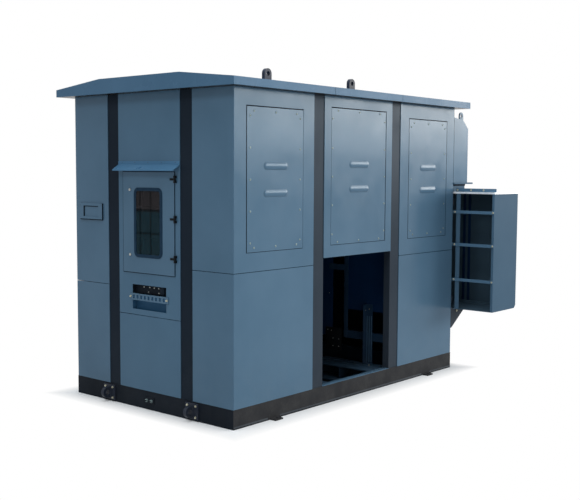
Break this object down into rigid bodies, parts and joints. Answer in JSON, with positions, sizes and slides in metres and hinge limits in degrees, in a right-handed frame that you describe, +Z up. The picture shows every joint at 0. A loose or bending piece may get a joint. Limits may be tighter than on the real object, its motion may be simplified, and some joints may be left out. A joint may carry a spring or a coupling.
{
  "type": "packaged transformer substation housing",
  "caption": "Sheet-steel transformer substation housing on a channel base, with bolted covers, an open service bay, a hinged window door, a low roof with lifting lugs and a side cable box.",
  "frame": {"origin": "middle of the anchor bolts, at ground level", "axes": "+X along the long front to the end with the cable box, +Y from the front to the back, +Z up"},
  "size_m": [3.418, 2.229, 2.5679],
  "materials": {
    "panel_paint": "semi-matt blue-grey powder paint",
    "frame_paint": "semi-matt anthracite powder paint",
    "lug_paint": "dark navy paint",
    "zinc": "yellow zinc plate",
    "galvanised": "bright galvanised sheet",
    "hinge_black": "black powder paint",
    "rubber": "matt black rubber",
    "glass": "clear flat glass"
  },
  "bodies": {
    "housing": {"base_side_rails": "frame_paint", "base_end_rails": "frame_paint", "base_cross_members": "frame_paint", "anchor_tabs": "frame_paint", "left_tow_eyes": "lug_paint", "right_tow_eyes": "lug_paint", "earth_terminal": "zinc", "front_posts": "frame_paint", "back_posts": "frame_paint", "left_posts": "frame_paint", "right_posts": "frame_paint", "front_left_lower_panel": "panel_paint", "front_right_lower_panel": "panel_paint", "back_left_lower_panel": "panel_paint", "back_right_lower_panel": "panel_paint", "front_left_upper_panel": "panel_paint", "front_right_upper_panel": "panel_paint", "back_left_upper_panel": "panel_paint", "back_right_upper_panel": "panel_paint", "front_middle_panel": "panel_paint", "back_middle_panel": "panel_paint", "back_middle_lower_panel": "panel_paint", "left_end_panel": "panel_paint", "left_end_lower_panel": "panel_paint", "right_end_panel": "panel_paint", "right_end_lower_panel": "panel_paint", "front_left_cover": "panel_paint", "front_middle_cover": "panel_paint", "front_right_cover": "panel_paint", "back_left_cover": "panel_paint", "back_middle_cover": "panel_paint", "back_right_cover": "panel_paint", "roof_left": "panel_paint", "roof_middle": "panel_paint", "roof_right": "panel_paint", "front_lifting_lugs": "lug_paint", "back_lifting_lugs": "lug_paint", "rain_hood": "panel_paint", "hinge_brackets": "hinge_black", "window_guard": "frame_paint", "cable_clamp_bar": "panel_paint", "terminal_strip": "frame_paint", "slot_plate": "panel_paint", "document_frame": "panel_paint", "cable_duct": "panel_paint", "duct_lifting_eye": "panel_paint", "duct_flange": "panel_paint", "cable_box": "panel_paint", "cable_box_lid": "galvanised", "lid_strip": "panel_paint", "clamp_rails": "panel_paint", "cable_box_brackets": "frame_paint", "inner_partition": "panel_paint", "inner_frame": "frame_paint"},
    "window_door": {"door_leaf": "panel_paint", "window_rubber": "rubber", "window_glass": "glass", "door_locks": "zinc", "hinge_straps": "hinge_black"}
  },
  "joints": [
    {"name": "window_door_hinge", "type": "hinge", "parent": "housing", "child": "window_door", "pos_m": [-1.444, -0.294, 1.395], "axis": [0, 0, 1], "range_deg": [0, 110]}
  ]
}
